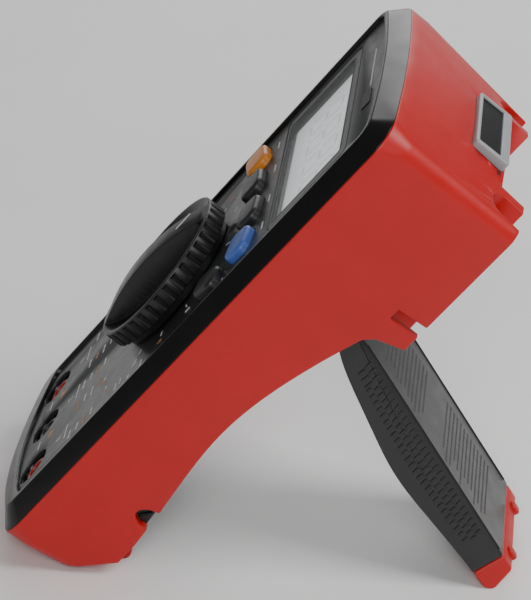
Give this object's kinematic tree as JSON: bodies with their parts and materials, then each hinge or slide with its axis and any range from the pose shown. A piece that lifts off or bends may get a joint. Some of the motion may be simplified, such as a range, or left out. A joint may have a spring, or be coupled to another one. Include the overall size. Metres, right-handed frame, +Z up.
{
  "type": "digital multimeter",
  "caption": "Handheld digital multimeter leaning on its open tilt stand, with a display, push buttons, a rotary selector knob, input jacks and probe holders on the back.",
  "frame": {"origin": "centre of the bounding box at the bench surface the meter stands on", "axes": "+Z up from the bench; +X towards the meter's right side seen from the front; the face looks towards -Y and up"},
  "size_m": [0.0944, 0.155, 0.1601],
  "materials": {
    "red_rubber": "satin red moulded holster",
    "black_gloss": "polished black",
    "panel": "satin dark grey",
    "clear": "clear",
    "lcd": "pale grey",
    "lcd_frame_plastic": "satin",
    "light_guide": "satin",
    "zebra": "matt",
    "black_case": "satin black",
    "port_grey": "satin light grey",
    "port_dark": "polished black",
    "emitter": "polished",
    "board": "satin",
    "mat_rubber": "matt",
    "orange_key": "satin orange",
    "grey_key": "satin dark grey",
    "blue_key": "satin blue",
    "black_key": "satin black",
    "knob_black": "satin black",
    "rotor_plastic": "satin",
    "contact_metal": "bright",
    "screw_steel": "bright",
    "jack_red": "red",
    "jack_black": "black",
    "sleeve_brass": "bright",
    "ceramic": "matt",
    "cap_metal": "bright",
    "clip_metal": "bright",
    "shunt_metal": "bright",
    "chip_black": "matt",
    "disc_blue": "satin",
    "battery_jacket": "satin",
    "stand_grey": "satin dark grey",
    "foot_red": "satin red"
  },
  "bodies": {
    "meter": {"holster": "red_rubber", "front_case": "black_gloss", "face_panel": "panel", "display_window": "clear", "lcd_glass": "lcd", "lcd_frame": "lcd_frame_plastic", "backlight": "light_guide", "zebra_strips": "zebra", "rear_case": "black_case", "port_frame": "port_grey", "port_window": "port_dark", "port_emitter": "emitter", "circuit_board": "board", "keypad_mat": "mat_rubber", "volt_jack_post": "jack_red", "current_jack_post": "jack_red", "common_jack_post": "jack_black", "jack_sleeves": "sleeve_brass", "fuses": "ceramic", "fuse_caps": "cap_metal", "fuse_clips": "clip_metal", "current_shunt": "shunt_metal", "measuring_chips": "chip_black", "buzzer": "chip_black", "surge_discs": "disc_blue", "battery": "battery_jacket", "battery_terminals": "cap_metal", "battery_snap": "rotor_plastic", "battery_door": "black_case", "battery_door_screws": "screw_steel", "case_screws": "screw_steel", "hinge_pins": "screw_steel"},
    "stand": {"stand_plate": "stand_grey", "stand_foot": "foot_red"},
    "knob": {"selector_knob": "knob_black", "selector_rotor": "rotor_plastic", "rotor_contacts": "contact_metal", "knob_screw": "screw_steel"},
    "select_key": {"select_button": "orange_key"},
    "range_key": {"range_button": "grey_key"},
    "relative_key": {"relative_button": "grey_key"},
    "hold_key": {"hold_button": "blue_key"},
    "light_key": {"light_button": "black_key"}
  },
  "joints": [
    {"name": "stand_hinge", "type": "hinge", "parent": "meter", "child": "stand", "pos_m": [0, 0.01666, 0.08394], "axis": [1, 0, 0], "range_deg": [-70, 0]},
    {"name": "selector_turn", "type": "hinge", "parent": "meter", "child": "knob", "pos_m": [0, -0.02988, 0.08016], "axis": [0, -0.8182, 0.575], "range_deg": [-120, 120]},
    {"name": "select_press", "type": "slide", "parent": "meter", "child": "select_key", "axis": [0, 0.8182, -0.575], "range_m": [0, 0.001], "stiffness_N_per_m": 800, "springref_m": -0.0008},
    {"name": "range_press", "type": "slide", "parent": "meter", "child": "range_key", "axis": [0, 0.8182, -0.575], "range_m": [0, 0.001], "stiffness_N_per_m": 800, "springref_m": -0.0008},
    {"name": "relative_press", "type": "slide", "parent": "meter", "child": "relative_key", "axis": [0, 0.8182, -0.575], "range_m": [0, 0.001], "stiffness_N_per_m": 800, "springref_m": -0.0008},
    {"name": "hold_press", "type": "slide", "parent": "meter", "child": "hold_key", "axis": [0, 0.8182, -0.575], "range_m": [0, 0.001], "stiffness_N_per_m": 800, "springref_m": -0.0008},
    {"name": "light_press", "type": "slide", "parent": "meter", "child": "light_key", "axis": [0, 0.8182, -0.575], "range_m": [0, 0.001], "stiffness_N_per_m": 800, "springref_m": -0.0008}
  ]
}
